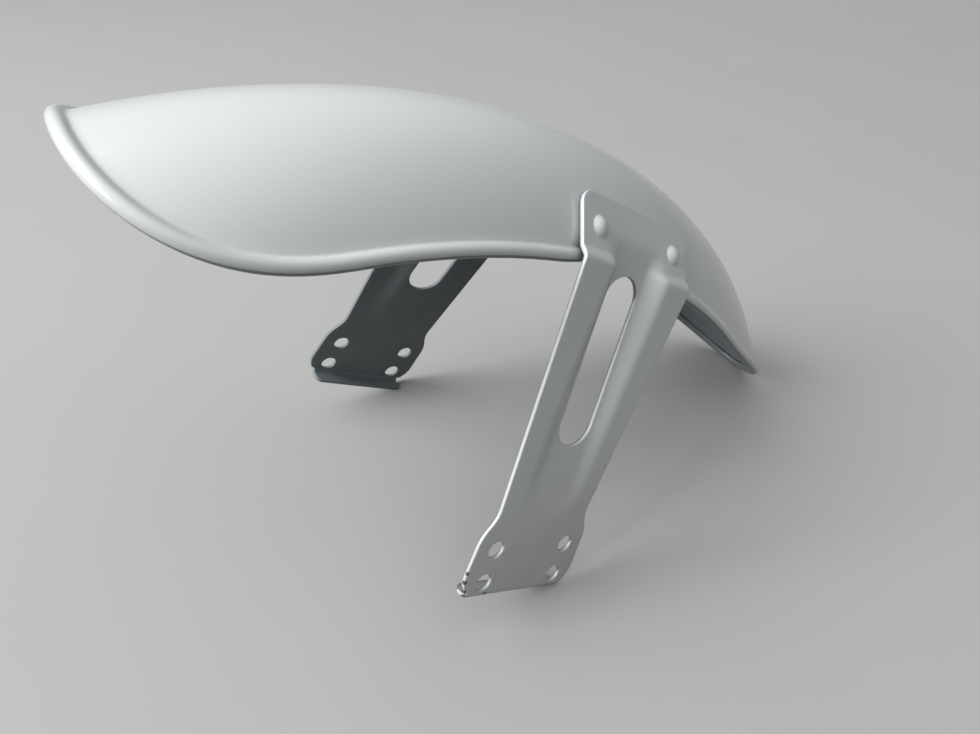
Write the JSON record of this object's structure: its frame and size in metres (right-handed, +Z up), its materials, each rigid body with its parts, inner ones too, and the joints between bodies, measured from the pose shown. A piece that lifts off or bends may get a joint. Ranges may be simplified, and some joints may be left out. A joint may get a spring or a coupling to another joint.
{
  "type": "motorcycle front mudguard",
  "caption": "Short crowned motorcycle front mudguard with a rolled edge, on two pressed stays with slotted troughs and drilled, flanged feet that bolt to the fork legs.",
  "frame": {"origin": "on the floor it stands on, under the middle of the whole part's box", "axes": "+X to the rear along the blade, +Y to the rider's right, +Z up"},
  "size_m": [0.3744, 0.177, 0.2214],
  "materials": {
    "paint": "gloss",
    "rivet_paint": "gloss"
  },
  "bodies": {
    "root": {"mudguard_blade": "paint", "left_stay": "paint", "right_stay": "paint", "left_front_rivet": "rivet_paint", "left_rear_rivet": "rivet_paint", "right_front_rivet": "rivet_paint", "right_rear_rivet": "rivet_paint"}
  },
  "joints": []
}
